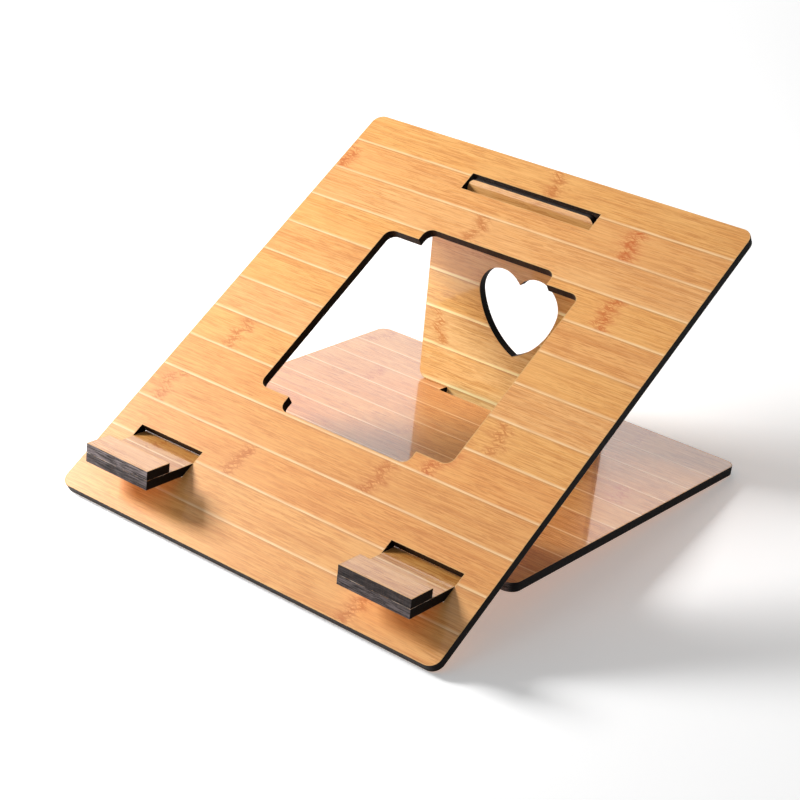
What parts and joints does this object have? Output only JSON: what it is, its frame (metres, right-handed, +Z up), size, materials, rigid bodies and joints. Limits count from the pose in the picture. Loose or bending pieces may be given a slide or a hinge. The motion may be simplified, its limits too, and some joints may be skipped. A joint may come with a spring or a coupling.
{
  "type": "tablet stand",
  "caption": "Flat-pack bamboo tablet stand: a sloping windowed tray hooked on a base's two tongues, each with a stop block, and propped by a slotted-in leg with a heart cut-out.",
  "frame": {"origin": "centre of the footprint, on the table surface the stand rests on", "axes": "+Z up, +X to the viewer's right when facing the tray, +Y from the tray's front edge towards the back of the base"},
  "size_m": [0.244, 0.257, 0.1414],
  "materials": {
    "tray_bamboo": "glossy clear-lacquered bamboo lamellae across the board, laser-charred edges",
    "base_bamboo": "glossy clear-lacquered bamboo lamellae across the board, laser-charred edges",
    "leg_bamboo": "glossy clear-lacquered bamboo lamellae across the board, laser-charred edges",
    "stop_bamboo": "glossy clear-lacquered bamboo with grey-brown charred edges",
    "wood_glue": "dried wood glue, a thin pale line"
  },
  "bodies": {
    "base": {"base_strip_01": "base_bamboo", "base_strip_02": "base_bamboo", "base_strip_03": "base_bamboo", "base_strip_04": "base_bamboo", "base_strip_05": "base_bamboo", "base_strip_06": "base_bamboo", "base_strip_07": "base_bamboo", "base_strip_08": "base_bamboo", "base_strip_09": "base_bamboo", "base_strip_10": "base_bamboo", "base_strip_11": "base_bamboo", "left_stop_block": "stop_bamboo", "right_stop_block": "stop_bamboo", "left_stop_glue": "wood_glue", "right_stop_glue": "wood_glue"},
    "tray": {"tray_strip_01": "tray_bamboo", "tray_strip_02": "tray_bamboo", "tray_strip_03": "tray_bamboo", "tray_strip_04": "tray_bamboo", "tray_strip_05": "tray_bamboo", "tray_strip_06": "tray_bamboo", "tray_strip_07": "tray_bamboo", "tray_strip_08": "tray_bamboo", "tray_strip_09": "tray_bamboo", "tray_strip_10": "tray_bamboo", "tray_strip_11": "tray_bamboo", "tray_strip_12": "tray_bamboo", "tray_strip_13": "tray_bamboo"},
    "leg": {"leg_strip_01": "leg_bamboo", "leg_strip_02": "leg_bamboo", "leg_strip_03": "leg_bamboo", "leg_strip_04": "leg_bamboo", "leg_strip_05": "leg_bamboo", "leg_strip_06": "leg_bamboo", "leg_strip_07": "leg_bamboo"}
  },
  "joints": [
    {"name": "tray_tilt", "type": "hinge", "parent": "base", "child": "tray", "pos_m": [0, -0.09294, 0.02145], "axis": [1, 0, 0], "range_deg": [0, 60]},
    {"name": "leg_lift", "type": "slide", "parent": "base", "child": "leg", "axis": [0, 0.068, 0.9977], "range_m": [0, 0.0125]}
  ],
  "couplings": [
    {"joint": "leg_lift", "follows": "tray_tilt", "m_per_rad": 0.0115}
  ]
}
